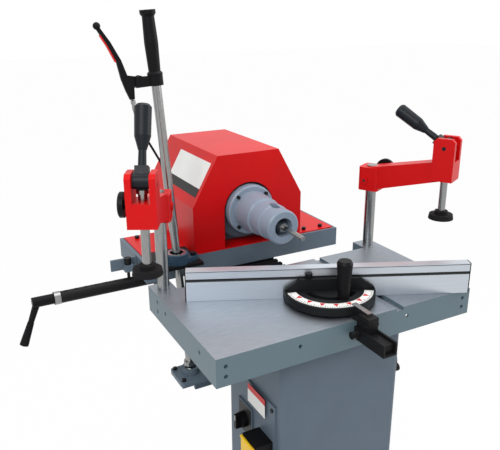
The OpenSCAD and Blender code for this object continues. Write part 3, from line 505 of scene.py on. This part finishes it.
for side, facing, outward in (("left", 1, TO_BACK), ("right", -1, TO_FRONT)):
    hinge = joints["cam_turn_" + side]
    axis = Vector(hinge["axis"])
    swing = Matrix.Rotation(math.atan2(-axis.x, axis.y), 4, "Z")
    lean = Matrix.Rotation(math.radians(HANDLE_LEANS[side]), 4, "Y")
    hub_place = Matrix.Translation(hinge["pos_m"]) @ swing @ lean
    add_piece("cam_hub_" + side, build_hub, slate_plastic, "cam_" + side, hub_place)
    add_piece("cam_screw_" + side, build_hub_screw, dark_print_and_painted_shade, "cam_" + side, hub_place)

    column = Vector(joints["arm_swing_" + side]["pos_m"])
    column.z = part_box("arm_" + side)[0].z
    boss_centre = (BOSS_X, facing * BOSS_FACE, BOSS_Z)
    build_boss = disc_builder(boss_centre, 10 * MM, 3 * MM, outward, 40)
    # The boss socket is a dark hex laid on the boss face: painted shade in the screw's socket
    build_boss_socket = disc_builder(boss_centre, 4 * MM, 3.2 * MM, outward, 6)
    boss_place = Matrix.Translation(column) @ swing
    add_piece("screw_boss_" + side, build_boss, red_paint, "arm_" + side, boss_place)
    add_piece("boss_socket_" + side, build_boss_socket, dark_print_and_painted_shade, "arm_" + side, boss_place)

# Ring of the index bar
bar_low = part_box("index_bar")[0]
bar_pos = Vector(joints["index_turn"]["pos_m"])


def build_index_ring(shape):
    add_disc(shape, (bar_low.x + 0.5 * MM, bar_pos.y, bar_pos.z), 16.4 * MM, 15 * MM, TO_RIGHT)


add_piece("index_ring", build_index_ring, steel, "index")

# Painted shade in the sockets of the bolts round the nose: small dark hexes laid on the flange
FLANGE_FACE, BOLT_CIRCLE = 293.1 * MM, 58 * MM
nose_low, nose_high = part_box("nose")
nose_axis_z = (nose_low.z + nose_high.z) / 2


def build_sockets(shape):
    for angle in range(45, 360, 90):
        a = math.radians(angle)
        centre = (BOLT_CIRCLE * math.cos(a), FLANGE_FACE, nose_axis_z + BOLT_CIRCLE * math.sin(a))
        add_disc(shape, centre, 2.4 * MM, 0.4 * MM, TO_FRONT, 6)


add_piece("bolt_sockets", build_sockets, dark_print_and_painted_shade, "head")


# Stage, light and camera

def light_ray_mix(tree):
    """1 for rays that should meet plain white: camera, glossy and transmission rays."""
    path = tree.nodes.new("ShaderNodeLightPath")
    total = path.outputs["Is Camera Ray"]
    for name in ("Is Glossy Ray", "Is Transmission Ray"):
        larger = tree.nodes.new("ShaderNodeMath")
        larger.operation = "MAXIMUM"
        tree.links.new(total, larger.inputs[0])
        tree.links.new(path.outputs[name], larger.inputs[1])
        total = larger.outputs[0]
    return total


def build_floor():
    bpy.ops.mesh.primitive_plane_add(size=40, location=(0, 0, -0.001))
    floor = bpy.context.object
    floor.name = "floor"
    material, tree, shader = new_material("floor_white")
    shader.inputs["Base Color"].default_value = (0.9, 0.9, 0.9, 1)
    shader.inputs["Roughness"].default_value = 0.9
    glow = tree.nodes.new("ShaderNodeEmission")
    mix = tree.nodes.new("ShaderNodeMixShader")
    share = tree.nodes.new("ShaderNodeMath")
    share.operation = "MULTIPLY"
    share.inputs[1].default_value = FLOOR_GLOW
    tree.links.new(light_ray_mix(tree), share.inputs[0])
    tree.links.new(share.outputs[0], mix.inputs["Fac"])
    tree.links.new(shader.outputs["BSDF"], mix.inputs[1])
    tree.links.new(glow.outputs["Emission"], mix.inputs[2])
    tree.links.new(mix.outputs["Shader"], tree.nodes["Material Output"].inputs["Surface"])
    floor.data.materials.append(material)


def build_world():
    world = bpy.data.worlds.new("studio")
    world.use_nodes = True
    scene.world = world
    tree = world.node_tree
    background = tree.nodes["Background"]
    background.inputs["Color"].default_value = (1, 1, 1, 1)
    strength = tree.nodes.new("ShaderNodeMapRange")
    strength.inputs["To Min"].default_value = WORLD_LIGHT
    strength.inputs["To Max"].default_value = WORLD_SEEN
    tree.links.new(light_ray_mix(tree), strength.inputs["Value"])
    tree.links.new(strength.outputs["Result"], background.inputs["Strength"])


def add_area_light(name, position, target, size, power):
    lamp = bpy.data.lights.new(name, "AREA")
    lamp.size = size
    lamp.energy = power
    holder = bpy.data.objects.new(name, lamp)
    holder.location = position
    aim = Vector(target) - Vector(position)
    holder.rotation_euler = aim.to_track_quat("-Z", "Y").to_euler()
    scene.collection.objects.link(holder)


def build_camera():
    flat = math.cos(CAMERA_PITCH)
    forward = Vector((math.sin(CAMERA_YAW) * flat, math.cos(CAMERA_YAW) * flat, -math.sin(CAMERA_PITCH)))
    level = Vector((math.cos(CAMERA_YAW), -math.sin(CAMERA_YAW), 0))
    rise = level.cross(forward)
    right = level * math.cos(CAMERA_ROLL) - rise * math.sin(CAMERA_ROLL)
    up = rise * math.cos(CAMERA_ROLL) + level * math.sin(CAMERA_ROLL)
    data = bpy.data.cameras.new("camera")
    data.lens = CAMERA_LENS
    data.sensor_width = CAMERA_SENSOR
    data.sensor_fit = "HORIZONTAL"
    camera = bpy.data.objects.new("camera", data)
    turn = Matrix((right, up, -forward)).transposed().to_4x4()
    camera.matrix_world = Matrix.Translation(CAMERA_POS) @ turn
    scene.collection.objects.link(camera)
    scene.camera = camera


build_floor()
build_world()
for lamp_name, lamp_pos, lamp_size, lamp_power in LAMPS:
    add_area_light(lamp_name, lamp_pos, MACHINE_MIDDLE, lamp_size, lamp_power)
build_camera()
scene.view_settings.view_transform = "Standard"
